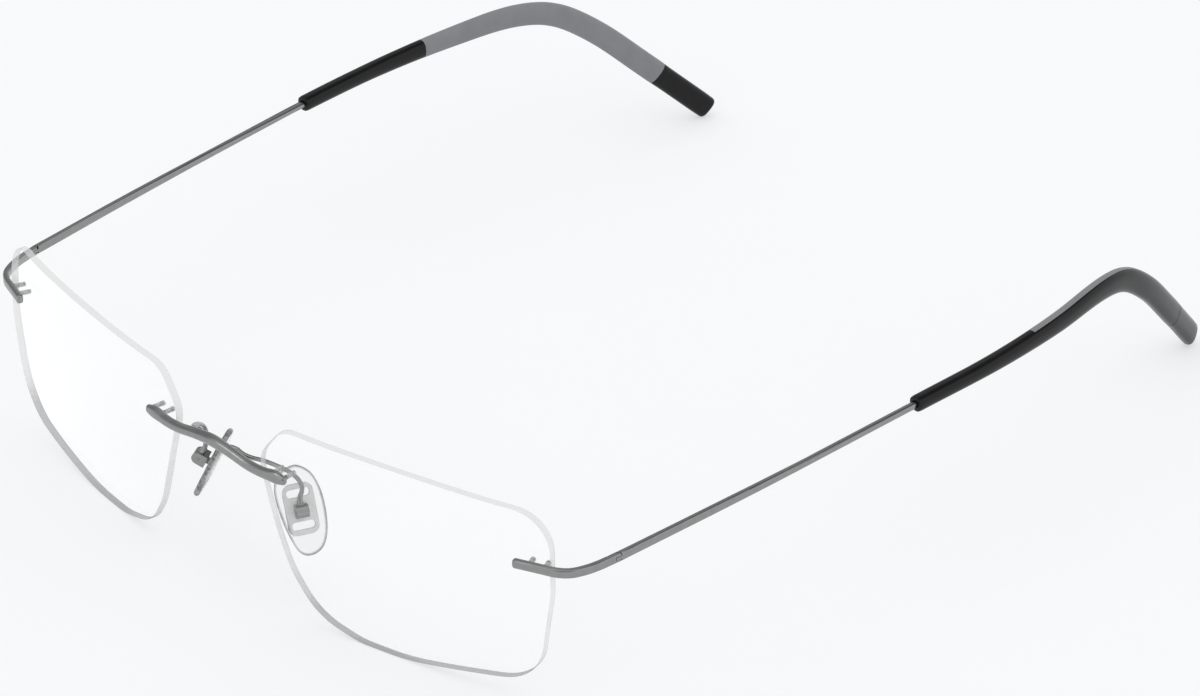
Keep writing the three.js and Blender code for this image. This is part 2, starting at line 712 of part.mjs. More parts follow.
function padArm() {
  const hollow = boxSolid(BOX_WALL);
  const toWorld = (body) => solid(geometryOf(body).applyMatrix4(padFrame));
  const boxTop = BOX_Q + BOX_HEIGHT / 2;
  const above = v3(BOX_P, boxTop + ARM_RISE, PAD_PIN_N + ARM_LEAN).applyMatrix4(padFrame);
  const neck = v3(BOX_P, boxTop - BOX_WALL / 2, PAD_PIN_N).applyMatrix4(padFrame);
  const line = curveThrough([...ARM_LINE.map((p) => v3(...p)), above, neck]);
  const rings = [];
  let side = v3(1, 0, 0);
  for (let i = 0; i <= ARM_RINGS; i++) {
    const share = i / ARM_RINGS;
    const tangent = line.getTangentAt(share);
    const top = v3().crossVectors(side, tangent).normalize();
    side = v3().crossVectors(tangent, top);
    const centre = line.getPointAt(share);
    const radius = ARM_DIAMETER / 2 + ARM_FLARE * share ** ARM_FLARE_POWER;
    const ring = [];
    for (let k = 0; k < ARM_SIDES; k++) {
      const angle = (-2 * Math.PI * k) / ARM_SIDES;
      const out = side.clone().multiplyScalar(Math.cos(angle));
      out.addScaledVector(top, Math.sin(angle)).multiplyScalar(radius);
      ring.push(out.add(centre));
    }
    rings.push(ring);
  }
  const box = toWorld(boxSolid(0).subtract(hollow).subtract(padPinHole()));
  return geometryOf(box.add(loft(rings).subtract(toWorld(hollow))));
}

function padPin() {
  const half = BOX_WIDTH / 2 + PAD_PIN_HEAD;
  const pin = rod(PAD_PIN_RADIUS, pinAt(-half), pinAt(half), PIN_SIDES);
  return geometryOf(pin).applyMatrix4(padFrame);
}

// ---- Assembly --------------------------------------------------------------------------------

function mirror(geometry) {
  const mirrored = geometry.clone().applyMatrix4(new THREE.Matrix4().makeScale(-1, 1, 1));
  const index = mirrored.index.array;
  for (let i = 0; i < index.length; i += 3) [index[i], index[i + 1]] = [index[i + 1], index[i]];
  return mirrored;
}

const glasses = new THREE.Group();
glasses.name = "eyeglasses";

function add(name, geometry, finish) {
  const mesh = new THREE.Mesh(geometry, finish);
  mesh.name = name;
  glasses.add(mesh);
}

function addPair(name, geometry, finish) {
  add(name.replace("SIDE", "left"), geometry, finish);
  add(name.replace("SIDE", "right"), mirror(geometry), finish);
}

add("bridge", bridge(), TITANIUM);
addPair("lens_SIDE", lens(), LENS_CLEAR);
addPair("end_piece_SIDE", endPiece(), TITANIUM);
BRIDGE_STUDS.forEach((place, i) => addPair(`sleeve_bridge_SIDE_${i + 1}`, sleeve(place), SLEEVE_CLEAR));
END_STUDS.forEach((place, i) => addPair(`sleeve_end_SIDE_${i + 1}`, sleeve(place), SLEEVE_CLEAR));
addPair("hinge_pin_SIDE", hingePin(), TITANIUM);
addPair("temple_SIDE", templeWire(), TITANIUM);
addPair("tip_sleeve_SIDE", tipSleeve(), TIP_BLACK);
addPair("tip_inlay_SIDE", tipInlay(), TIP_GREY);
addPair("tip_cap_SIDE", tipCap(), TIP_BLACK);
addPair("pad_arm_SIDE", padArm(), TITANIUM);
addPair("pad_pin_SIDE", padPin(), TITANIUM);
addPair("pad_insert_SIDE", padInsert(), INSERT_GREY);
addPair("nose_pad_SIDE", nosePad(), SILICONE);

// The frame's origin is the middle of the footprint, on the table.
const bounds = new THREE.Box3().setFromObject(glasses);
glasses.position.set(0, -(bounds.min.y + bounds.max.y) / 2, -bounds.min.z);

export default glasses;
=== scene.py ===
"""Looks for the rimless eyeglasses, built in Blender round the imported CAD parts.

The lenses, bridge, sleeves, tips and nose pads get smooth new skins, measured from the CAD nodes.
The small machined pieces are welded, bevelled copies of their CAD nodes. The studs in the lenses
and the soldered roots of the pad arms are added here.
"""

import math

import bmesh
import bpy
import numpy as np
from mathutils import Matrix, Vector
from mathutils.geometry import convex_hull_2d


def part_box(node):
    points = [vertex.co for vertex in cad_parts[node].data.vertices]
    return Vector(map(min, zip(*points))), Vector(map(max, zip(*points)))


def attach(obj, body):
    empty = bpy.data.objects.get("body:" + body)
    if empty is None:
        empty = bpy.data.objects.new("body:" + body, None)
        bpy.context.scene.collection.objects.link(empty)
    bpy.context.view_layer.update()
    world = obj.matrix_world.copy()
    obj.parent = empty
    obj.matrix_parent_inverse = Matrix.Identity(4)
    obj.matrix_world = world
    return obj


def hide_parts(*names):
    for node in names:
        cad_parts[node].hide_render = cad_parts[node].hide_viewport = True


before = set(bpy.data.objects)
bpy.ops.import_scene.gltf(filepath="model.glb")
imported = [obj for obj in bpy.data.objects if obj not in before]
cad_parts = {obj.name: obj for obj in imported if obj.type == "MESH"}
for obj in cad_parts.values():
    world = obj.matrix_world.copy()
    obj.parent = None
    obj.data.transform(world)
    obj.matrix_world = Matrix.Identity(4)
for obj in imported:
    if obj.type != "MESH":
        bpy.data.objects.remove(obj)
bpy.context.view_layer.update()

MM = 0.001
UP = np.array([0.0, 0.0, 1.0])
SIDES = {"left": 1, "right": -1}  # the sign of X on each side of the wearer

# ---- Driving dimensions, in metres and radians -----------------------------------------------

MOST_STATIONS = 400  # ends a trace that never runs out of bar
FEWEST_HITS = 6  # a cut with fewer is not a section
FACING = 0.9  # cosine of the angle up to which a face looks along an axis

LENS_WRAP = math.radians(12.2)
LENS_TILT = math.radians(2.77)
LENS_CHAMFER = 0.14 * MM
LENS_RIM_POINTS = 240
LENS_SHORTEST_EDGE = 0.02 * MM
LENS_FACE_RINGS = [0.25, 0.5, 0.7, 0.85, 0.95]  # as shares of the rim
LENS_SHADE = 0.88  # share of the light for the floor that each face lets through
LENS_GLINT = 0.012  # reflection seen straight on
LENS_SIDE_GLINT = 0.2  # how much it grows towards a glancing view
# Painted shade of the lens edge: its tones from where it faces down (0) to where it faces up (1)
EDGE_PAINTED_SHADE = [(0.0, 0.2), (0.12, 0.22), (0.27, 0.6), (0.5, 0.78), (0.75, 0.72), (1.0, 0.68)]
EDGE_COVER = 0.62  # how much of the edge's look is its frosting, which carries the edge's painted shade

SLEEVE_RADIUS = 0.38 * MM
SLEEVE_BORE_GAP = 0.02 * MM
SLEEVE_RIBS = 3
SLEEVE_RIB_START = 0.25 * MM  # behind the middle of the sleeve
# One rib: share of its length, and growth of the radius there
SLEEVE_RIB = [(0.3, -0.07 * MM), (0.5, -0.07 * MM), (0.7, 0.03 * MM), (1, 0)]
SLEEVE_END = 0.05 * MM
SLEEVE_END_TAPER = 0.08 * MM

STUD_RADIUS = 0.2 * MM
STUD_ROOT_RADIUS = SLEEVE_RADIUS - 0.02 * MM
STUD_TAPER = 0.1 * MM
STUD_TIP_GAP = 0.15 * MM  # between the stud's tip and the back end of its sleeve
# Each kind: its length in front of its sleeve, and how far its thick root then runs back
STUDS = {"bridge": (0.8 * MM, 0.05 * MM), "end": (0.5 * MM, 0.6 * MM)}

BRIDGE_EXPONENT = 2.3
BRIDGE_STEP = 0.3 * MM
BRIDGE_REACH = 2.2 * MM  # a cut counts only this close to the middle of the wire
BRIDGE_NOSE = 1 * MM  # half the stretch that gives the height of the middle
BRIDGE_START = 0.01 * MM  # just off the mirror plane, so that the first cut meets no corner
BRIDGE_END = 0.35 * MM  # the last stretch, which gets a dome in place of sections
BRIDGE_SMOOTHING = 4
DOME_STEPS = 8
DOME_TIP = 0.02  # size of its last ring, as a share
STUDS_FROM = 9 * MM  # the wire crosses the lenses, and has studs, this far to each side
STUD_CLEARANCE = 0.02 * MM
PADDLE_SWELL = 0.18  # growth in height of the ends of the bridge
PADDLE_FROM = 0.7  # where the growth starts, as a share of the half bridge
PADDLE_LENGTH = 0.2  # how long it takes, likewise

# Radius and distance of the rings of the pad arm's soldered root, and its way for the left side
ARM_ROOT = [(r * MM, along * MM) for r, along in ((0.33, -0.3), (0.35, 0.2), (0.3, 1), (0.16, 1.7))]
ARM_ROOT_WAY = (-0.97, -0.22, 0.12)
ARM_ROOT_STRETCH = 0.3 * MM  # length of the arm's inner end that gives the root's place

RING_POINTS = 48
TIP_STEP = 0.5 * MM
TIP_REACH = 4 * MM
TIP_MOUTH = 0.8 * MM  # length of the sleeve's front end that gives its middle
TIP_START = (0, 0.5 * MM, 0)
TIP_WAY = (0, 1, 0.02)
TIP_SMOOTHING = 10
TIP_EXPONENT = 2.5
TIP_BORE = 0.66 * MM  # radius
TIP_BORE_DEPTH = 1.2 * MM
TIP_LIP = [(0, 0.22 * MM), (0.07 * MM, 0.07 * MM)]  # distance back and narrowing
# The grey half of a tip wraps outwards over its top, but not under it: shares of the width
PARTING_ABOVE = 0.24
PARTING_BELOW = -0.1
PARTING_GAP = 0.01 * MM
PARTING_POINTS = 721
CAP_SEAM = 0.06 * MM
CAP_ROUNDING = 0.8 * MM
CAP_STEPS = 6

PAD_RIM = 0.48 * MM
PAD_BACK_INSET = 0.8 * MM
PAD_RIM_STEPS = 12
PAD_RING_POINTS = 96
PAD_DOME_RINGS = (0.8, 0.6, 0.4, 0.2)
PAD_RIM_COVER = 0.88  # how much of the rim's look is its mottled grey skin, a painted shade for the dark outline of the clear rim
PLATE_DEPTH = 0.6 * MM  # the part of the insert that fills the pocket
POCKET_SPREAD = 1.015  # size of the pocket against the plate in it
POCKET_GAP = 0.03 * MM
POCKET_CORNER = (0.12 * MM, 0.1 * MM)  # narrowing at the floor, and height
POCKET_LIP = (0.08 * MM, 0.06 * MM)  # widening at the mouth, and depth

# Softness of the edges of the machined pieces
METAL_BEVELS = {
    "end_piece": 0.02 * MM,
    "temple": 0.02 * MM,
    "hinge_pin": 0.01 * MM,
    "pad_arm": 0.16 * MM,
    "pad_pin": 0.05 * MM,
}
INSERT_BEVEL = 0.08 * MM
WELD = 0.001 * MM
FLAT_ANGLE = math.radians(1)
BEVEL_ANGLE = math.radians(40)

# The studio as seen in reflections: direction, degrees of full and of no effect, level
STUDIO_LEVEL = 1.05
STUDIO_PATCHES = [
    ((-0.95, 0.05, 0.32), 30, 62, 0.45),
    ((0.6, -0.68, 0.3), 14, 34, 0.3),
    ((0.04, 0.61, 0.79), 15, 36, 0.25),
    ((-0.36, -0.59, 0.73), 4, 8, 4.0),
]
FILL_LEVEL = 0.975  # of the studio as all other light sees it
TOP_LIGHT_SIZE = 1.6
TOP_LIGHT_HEIGHT = 1.4
TOP_LIGHT_POWER = 3
FLOOR_REACH = 6.0

CAMERA_AZIMUTH = math.radians(45.205)
CAMERA_ELEVATION = math.radians(29.911)
CAMERA_DISTANCE = 1.15
CAMERA_TARGET = Vector((0.00205, -0.00108, 0.01055))
CAMERA_LENS = 218.75
CAMERA_SENSOR = 36

FACTOR, FLOAT_A, FLOAT_B, COLOUR_A, COLOUR_B = 0, 2, 3, 6, 7  # sockets of a Mix node


# ---- Reading the frame -----------------------------------------------------------------------


def points_of(name):
    """The corners of a CAD node, as rows."""
    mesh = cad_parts[name].data
    flat = np.empty(len(mesh.vertices) * 3)
    mesh.vertices.foreach_get("co", flat)
    return flat.reshape(-1, 3)


def edges_of(names):
    """The two ends of every edge of some CAD nodes."""
    starts, ends = [], []
    for name in names:
        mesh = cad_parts[name].data
        pairs = np.empty(len(mesh.edges) * 2, int)
        mesh.edges.foreach_get("vertices", pairs)
        corners = points_of(name)[pairs.reshape(-1, 2)]
        starts.append(corners[:, 0])
        ends.append(corners[:, 1])
    return np.vstack(starts), np.vstack(ends)


def cut(edges, point, normal):
    """Where a plane cuts the edges."""
    starts, ends = edges
    before = (starts - point) @ normal
    after = (ends - point) @ normal
    crossing = before * after < 0
    share = before[crossing] / (before[crossing] - after[crossing])
    return starts[crossing] + share[:, None] * (ends - starts)[crossing]


def unit(vector):
    """The vector at length 1."""
    return vector / np.linalg.norm(vector)


def across(heading):
    """The level direction to one side of a heading, and the direction over it."""
    side = unit(np.cross(heading, UP))
    return side, np.cross(side, heading)


def trace(names, start, heading, step, reach, keep=None):
    """Cuts a bar across at even steps. Each station is its centre, heading, width and height."""
    edges = edges_of(names)
    point, heading = np.array(start), unit(np.array(heading, float))
    stations = []
    while len(stations) < MOST_STATIONS:
        hits = cut(edges, point, heading)
        hits = hits[np.linalg.norm(hits - point, axis=1) < reach]
        if keep is not None and len(hits):
            hits = hits[keep(hits)]
        if len(hits) < FEWEST_HITS:
            break
        side, top = across(heading)
        x, y = (hits - point) @ side, (hits - point) @ top
        centre = point + side * (x.max() + x.min()) / 2 + top * (y.max() + y.min()) / 2
        if stations:
            heading = unit(centre - stations[-1][0])
        stations.append((centre, heading, np.ptp(x), np.ptp(y)))
        point = centre + heading * step
    return stations


def smooth(stations, times):
    """Evens out small steps in a run of stations, keeping both ends."""
    rows = np.array([np.concatenate([s[0], s[2:]]) for s in stations])
    for _ in range(times):
        rows[1:-1] = rows[:-2] / 4 + rows[1:-1] / 2 + rows[2:] / 4
    headings = np.gradient(rows[:, :3], axis=0)
    return [(row[:3], unit(way), row[3], row[4]) for row, way in zip(rows, headings)]


def principal_axes(points):
    """The middle of some points and their longest, middle and shortest directions."""
    middle = (points.max(0) + points.min(0)) / 2
    return middle, np.linalg.svd(points - points.mean(0), full_matrices=False)[2]


# ---- Building meshes -------------------------------------------------------------------------


def circle_about(axis, count=24):
    """Unit offsets all round an axis."""
    one = unit(np.cross(axis, UP))
    two = np.cross(axis, one)
    angles = np.arange(count) * 2 * math.pi / count
    return np.cos(angles)[:, None] * one + np.sin(angles)[:, None] * two


def add_piece(name, mesh, body, finish, degrees=35):
    """A new piece that rides on a body, smooth but for edges sharper than the given angle."""
    piece = bpy.data.objects.new(name, mesh)
    bpy.context.scene.collection.objects.link(piece)
    if not mesh.materials:
        mesh.materials.append(finish)
    mesh.shade_smooth()
    mesh.set_sharp_from_angle(angle=math.radians(degrees))
    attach(piece, body)
    return piece


def mesh_from(name, vertices, faces):
    """A mesh with all its faces turned outwards."""
    mesh = bpy.data.meshes.new(name)
    mesh.from_pydata([tuple(v) for v in vertices], [], faces)
    cleaner = bmesh.new()
    cleaner.from_mesh(mesh)
    bmesh.ops.recalc_face_normals(cleaner, faces=cleaner.faces)
    cleaner.to_mesh(mesh)
    cleaner.free()
    return mesh


def loft(name, rings):
    """A closed mesh through rings of equal length. A ring of one point closes an end to a tip."""
    vertices, faces, starts = [], [], []
    for ring in rings:
        starts.append(len(vertices))
        vertices.extend(ring)
    for lower, upper, a, b in zip(rings, rings[1:], starts, starts[1:]):
        count = max(len(lower), len(upper))
        for i in range(count):
            j = (i + 1) % count
            if len(lower) == 1:
                faces.append((a, b + j, b + i))
            elif len(upper) == 1:
                faces.append((a + i, a + j, b))
            else:
                faces.append((a + i, a + j, b + j, b + i))
    if len(rings[0]) > 1:
        faces.append(tuple(reversed(range(len(rings[0])))))
    if len(rings[-1]) > 1:
        faces.append(tuple(range(starts[-1], len(vertices))))
    return mesh_from(name, vertices, faces)


def superellipse(angles, width, height, exponent):
    """Offsets round a section: exponent 2 is an ellipse and 4 is nearly a rectangle."""
    cosine, sine = np.cos(angles), np.sin(angles)
    x = width / 2 * np.sign(cosine) * np.abs(cosine) ** (2 / exponent)
    y = height / 2 * np.sign(sine) * np.abs(sine) ** (2 / exponent)
    return x, y


def ring_at(station, exponent, shrink=0.0):
    """The outline of a bar at one station, made smaller by some distance all round."""
    centre, heading, width, height = station
    side, top = across(heading)
    angles = np.arange(RING_POINTS) * 2 * np.pi / RING_POINTS
    x, y = superellipse(angles, width - 2 * shrink, height - 2 * shrink, exponent)
    return centre + x[:, None] * side + y[:, None] * top


def refined(node, body, finish, bevel, edge=None):
    """A welded copy of a CAD node with softened edges, shown in the node's place.

    A painted edge shade, when given, goes on the bevels, and on all faces but those that look along
    its thinnest way.
    """
    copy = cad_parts[node].data.copy()
    copy.materials.clear()
    work = bmesh.new()
    work.from_mesh(copy)
    bmesh.ops.remove_doubles(work, verts=work.verts, dist=WELD)
    bmesh.ops.dissolve_limit(work, angle_limit=FLAT_ANGLE, verts=work.verts, edges=work.edges)
    bmesh.ops.join_triangles(
        work, faces=work.faces, angle_face_threshold=0.5, angle_shape_threshold=0.8
    )
    work.to_mesh(copy)
    work.free()
    copy.name = "visual_" + node
    piece = add_piece("visual_" + node, copy, body, finish)
    softened = piece.modifiers.new("soft_edges", "BEVEL")
    softened.width = bevel
    softened.segments = 2
    softened.limit_method = "ANGLE"
    softened.angle_limit = BEVEL_ANGLE
    softened.harden_normals = True
    # The edge material is a painted shade on the bevels and sides
    if edge:
        copy.materials.append(edge)
        softened.material = 1
        thin_way = principal_axes(points_of(node))[1][2]
        for face in copy.polygons:
            face.material_index = 0 if abs(np.array(face.normal) @ thin_way) > 0.5 else 1
    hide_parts(node)


# ---- Materials -------------------------------------------------------------------------------


class Shader:
    """Adds nodes to a new material, so each finish below reads as a short recipe."""

    def __init__(self, name):
        self.material = bpy.data.materials.new(name)
        self.material.use_nodes = True
        self.tree = self.material.node_tree
        self.tree.nodes.clear()
        self.output = self.tree.nodes.new("ShaderNodeOutputMaterial")

    def add(self, kind, inputs=None, **settings):
        """A new node. An input is either a value or a socket that feeds it."""
        node = self.tree.nodes.new(kind)
        for key, value in settings.items():
            setattr(node, key, value)
        for key, value in (inputs or {}).items():
            if isinstance(value, bpy.types.NodeSocket):
                self.tree.links.new(value, node.inputs[key])
            else:
                node.inputs[key].default_value = value
        return node

    def noise(self, scale, detail=3.0, stretch=(1, 1, 1)):
        """Soft uneven levels in the piece's own space, mostly from 0.3 to 0.7."""
        place = self.add("ShaderNodeTexCoord").outputs["Object"]
        stretched = self.add("ShaderNodeMapping", {"Vector": place, "Scale": stretch})
        inputs = {"Vector": stretched.outputs[0], "Scale": scale, "Detail": detail}
        return self.add("ShaderNodeTexNoise", inputs).outputs["Fac"]

    def between(self, value, low, high):
        """Noise brought to lie between two levels."""
        inputs = {"Value": value, "From Min": 0.3, "From Max": 0.7, "To Min": low, "To Max": high}
        return self.add("ShaderNodeMapRange", inputs).outputs[0]

    def bump(self, height, distance, strength=0.5):
        """A surface made uneven by noise."""
        inputs = {"Height": height, "Distance": distance, "Strength": strength}
        return self.add("ShaderNodeBump", inputs).outputs[0]

    def blend(self, value, dark, light):
        """Noise turned into a run of colours."""
        ramp = self.add("ShaderNodeValToRGB", {"Fac": value})
        ramp.color_ramp.elements[0].position, ramp.color_ramp.elements[1].position = 0.3, 0.7
        ramp.color_ramp.elements[0].color = (*dark, 1)
        ramp.color_ramp.elements[1].color = (*light, 1)
        return ramp.outputs[0]

    def finish(self, surface):
        """The material, with this surface as its output."""
        self.tree.links.new(surface, self.output.inputs["Surface"])
        return self.material


def titanium():
    """Satin grey metal with fine drawing lines and a soft cloudiness."""
    s = Shader("titanium")
    clouds = s.noise(900, 4)
    grain = s.noise(6000, 2, (1, 1, 6))
    base = s.add(
        "ShaderNodeBsdfPrincipled",
        {
            "Base Color": s.blend(clouds, (0.27, 0.275, 0.272), (0.3, 0.305, 0.302)),
            "Metallic": 1.0,
            "Roughness": s.between(grain, 0.18, 0.24),
            "Normal": s.bump(grain, 0.002 * MM, 0.25),
        },
    )
    return s.finish(base.outputs[0])


def plastic(name, dark, light, roughness, shine, grain_depth):
    """Moulded plastic: a fine skin texture with slight changes of tone and gloss."""
    s = Shader(name)
    clouds = s.noise(350, 5)
    skin = s.noise(9000, 2)
    base = s.add(
        "ShaderNodeBsdfPrincipled",
        {
            "Base Color": s.blend(clouds, dark, light),
            "Roughness": s.between(clouds, roughness - 0.04, roughness + 0.04),
            "Specular IOR Level": shine,
            "Normal": s.bump(skin, grain_depth, 0.3),
        },
    )
    return s.finish(base.outputs[0])


def lens_face():
    """Thin clear glass: light passes straight through, with a faint reflection.

    It holds back part of the light that would reach the floor, so a soft shadow forms below.
    """
    s = Shader("lens_face")
    film = s.noise(60, 2)
    path = s.add("ShaderNodeLightPath")
    tint = s.add("ShaderNodeMix", data_type="RGBA")
    s.tree.links.new(path.outputs["Is Diffuse Ray"], tint.inputs[FACTOR])
    tint.inputs[COLOUR_A].default_value = (0.998, 0.999, 1.0, 1)
    tint.inputs[COLOUR_B].default_value = (LENS_SHADE, LENS_SHADE, LENS_SHADE, 1)
    clear = s.add("ShaderNodeBsdfTransparent", {"Color": tint.outputs[2]})
    facing = s.add("ShaderNodeLayerWeight", {"Blend": 0.5}).outputs["Facing"]
    steep = s.add("ShaderNodeMath", {0: facing, 1: 5.0}, operation="POWER")
    growth = {0: steep.outputs[0], 1: LENS_SIDE_GLINT, 2: LENS_GLINT}
    share = s.add("ShaderNodeMath", growth, operation="MULTIPLY_ADD")
    mirror = {"Roughness": s.between(film, 0.01, 0.03), "Color": share.outputs[0]}
    gloss = s.add("ShaderNodeBsdfGlossy", mirror)
    parts = {0: clear.outputs[0], 1: gloss.outputs[0]}
    return s.finish(s.add("ShaderNodeAddShader", parts).outputs[0])


def lens_edge():
    """The ground edge of the lens: partly clear, with a painted shade that is darker where it faces
    down.
    """
    s = Shader("lens_edge")
    rise = s.add("ShaderNodeAttribute", attribute_name="rise").outputs["Fac"]
    grind = s.noise(3000, 3)
    tone = s.add("ShaderNodeMath", {0: rise, 1: s.between(grind, -0.03, 0.03)}, operation="ADD")
    # Painted shade: the edge is darker where it faces down and lighter where it faces up
    ramp = s.add("ShaderNodeValToRGB", {"Fac": tone.outputs[0]})
    for place, level in EDGE_PAINTED_SHADE[1:-1]:
        ramp.color_ramp.elements.new(place)
    for element, (place, level) in zip(ramp.color_ramp.elements, EDGE_PAINTED_SHADE):
        element.position = place
        element.color = (level, level * 1.004, level, 1)
    frosted_with_painted_shade = s.add(
        "ShaderNodeBsdfPrincipled",
        {"Base Color": ramp.outputs[0], "Roughness": 0.4, "Normal": s.bump(grind, 0.004 * MM)},
    )
    clear = s.add("ShaderNodeBsdfTransparent", {"Color": (0.97, 0.975, 0.97, 1)})
    parts = {0: EDGE_COVER, 1: clear.outputs[0], 2: frosted_with_painted_shade.outputs[0]}
    return s.finish(s.add("ShaderNodeMixShader", parts).outputs[0])


def silicone():
    """Clear soft rubber that bends light. Its rim is mostly a mottled grey, painted shade for the
    dark outline of the clear rim.
    """
    s = Shader("silicone")
    flow = s.noise(1500, 4)
    bent = s.add(
        "ShaderNodeBsdfPrincipled",
        {
            "Base Color": (0.93, 0.93, 0.925, 1),
            "Roughness": s.between(flow, 0.02, 0.12),
            "IOR": 1.2,
            "Transmission Weight": 1.0,
            "Normal": s.bump(flow, 0.03 * MM, 0.5),
        },
    )
    # Painted shade: a mottled dark grey that stands for the dark outline of the clear rim
    skin = s.add(
        "ShaderNodeBsdfPrincipled",
        {
            "Base Color": s.blend(flow, (0.04, 0.04, 0.04), (0.36, 0.36, 0.355)),
            "Roughness": 0.2,
            "Normal": s.bump(flow, 0.06 * MM, 0.6),
        },
    )
    rim = s.add("ShaderNodeAttribute", attribute_name="rim").outputs["Fac"]
    share = s.add("ShaderNodeMath", {0: rim, 1: PAD_RIM_COVER}, operation="MULTIPLY").outputs[0]
    parts = {0: share, 1: bent.outputs[0], 2: skin.outputs[0]}
    return s.finish(s.add("ShaderNodeMixShader", parts).outputs[0])


def milky(name, dark, light, share, scale):
    """Cloudy plastic. The share is how much of it is solid: the rest lets light straight through."""
    s = Shader(name)
    clouds = s.noise(scale, 4)
    solid = s.add(
        "ShaderNodeBsdfPrincipled",
        {
            "Base Color": s.blend(clouds, dark, light),
            "Roughness": s.between(clouds, 0.3, 0.4),
            "Normal": s.bump(clouds, 0.01 * MM, 0.3),
        },
    )
    clear = s.add("ShaderNodeBsdfTransparent", {"Color": (0.95, 0.95, 0.95, 1)})
    parts = {0: share, 1: clear.outputs[0], 2: solid.outputs[0]}
    return s.finish(s.add("ShaderNodeMixShader", parts).outputs[0])


TITANIUM = titanium()
BLACK = plastic("black_tip", (0.004, 0.004, 0.0045), (0.006, 0.006, 0.0065), 0.2, 0.23, 0.003 * MM)
GREY = plastic("grey_tip", (0.2, 0.2, 0.208), (0.222, 0.222, 0.236), 0.45, 0.2, 0.003 * MM)
LENS_FACE = lens_face()
LENS_EDGE = lens_edge()
SLEEVE = milky("sleeve", (0.35, 0.35, 0.35), (0.85, 0.86, 0.85), 0.65, 2500)
SILICONE = silicone()
INSERT = milky("insert", (0.74, 0.745, 0.74), (0.84, 0.845, 0.84), 0.65, 1500)
# Painted shade: dark grey on the insert's bevels and sides, for the dark outlines along its edges
INSERT_EDGE_SHADE = milky("insert_edge_painted_shade", (0.16, 0.16, 0.16), (0.24, 0.24, 0.24), 0.8, 1500)


# ---- Lenses, sleeves and studs ---------------------------------------------------------------


class LensShape:
    """A lens's own axes and front sphere, measured from its CAD node."""

    def __init__(self, side):
        sign = SIDES[side]
        wrap, tilt = LENS_WRAP, LENS_TILT
        level = np.array([sign * math.sin(wrap), -math.cos(wrap), 0.0])
        self.u = np.array([sign * math.cos(wrap), math.sin(wrap), 0.0])
        self.v = math.cos(tilt) * UP + math.sin(tilt) * level
        self.n = math.cos(tilt) * level - math.sin(tilt) * UP
        points = points_of("lens_" + side)
        plane = np.column_stack([points @ self.u, points @ self.v])
        rim_rows = points[convex_hull_2d([Vector(p) for p in plane])]
        front = self.front_points(side, points)
        rows = np.column_stack([2 * front, np.ones(len(front))])
        found = np.linalg.lstsq(rows, (front**2).sum(1), rcond=None)[0]
        self.ball = found[:3]
        self.radius = math.sqrt(found[3] + self.ball @ self.ball)
        self.thickness = self.radius - np.linalg.norm(points - self.ball, axis=1).min()
        self.centre = self.ball + self.radius * self.n
        self.outline = np.column_stack(
            [(rim_rows - self.centre) @ self.u, (rim_rows - self.centre) @ self.v]
        )

    def front_points(self, side, points):
        """The corners of the faces that look forwards."""
        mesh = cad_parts["lens_" + side].data
        chosen = set()
        for face in mesh.polygons:
            if np.array(face.normal) @ self.n > FACING:
                chosen.update(face.vertices)
        return points[sorted(chosen)]

    def place(self, u, v, depth):
        """A point this deep behind the front surface, along the lens's axis."""
        sag = self.radius - math.sqrt(self.radius**2 - u * u - v * v)
        return self.centre + u * self.u + v * self.v - (sag + depth) * self.n

    def over(self, points):
        """How far points stand in front of the front surface."""
        return np.linalg.norm(points - self.ball, axis=1) - self.radius


def resampled(outline, count):
    """Even points on a smooth closed curve through the outline."""
    steps = np.linalg.norm(np.roll(outline, -1, 0) - outline, axis=1)
    outline = outline[steps > LENS_SHORTEST_EDGE]
    ends = np.roll(outline, -1, 0)
    before = (ends - np.roll(outline, 1, 0)) / 2
    after = (np.roll(outline, -2, 0) - outline) / 2
    steps = np.linalg.norm(ends - outline, axis=1)
    before *= (steps / (steps / 2 + np.roll(steps, 1) / 2))[:, None]
    after *= (steps / (steps / 2 + np.roll(steps, -1) / 2))[:, None]
    along = np.concatenate([[0], np.cumsum(steps)])
    places = np.arange(count) * along[-1] / count
    which = np.searchsorted(along, places, side="right") - 1
    t = ((places - along[which]) / steps[which])[:, None]
    a, b, m, n = outline[which], ends[which], before[which], after[which]
    return (
        (2 * t**3 - 3 * t**2 + 1) * a
        + (t**3 - 2 * t**2 + t) * m
        + (3 * t**2 - 2 * t**3) * b
        + (t**3 - t**2) * n
    )


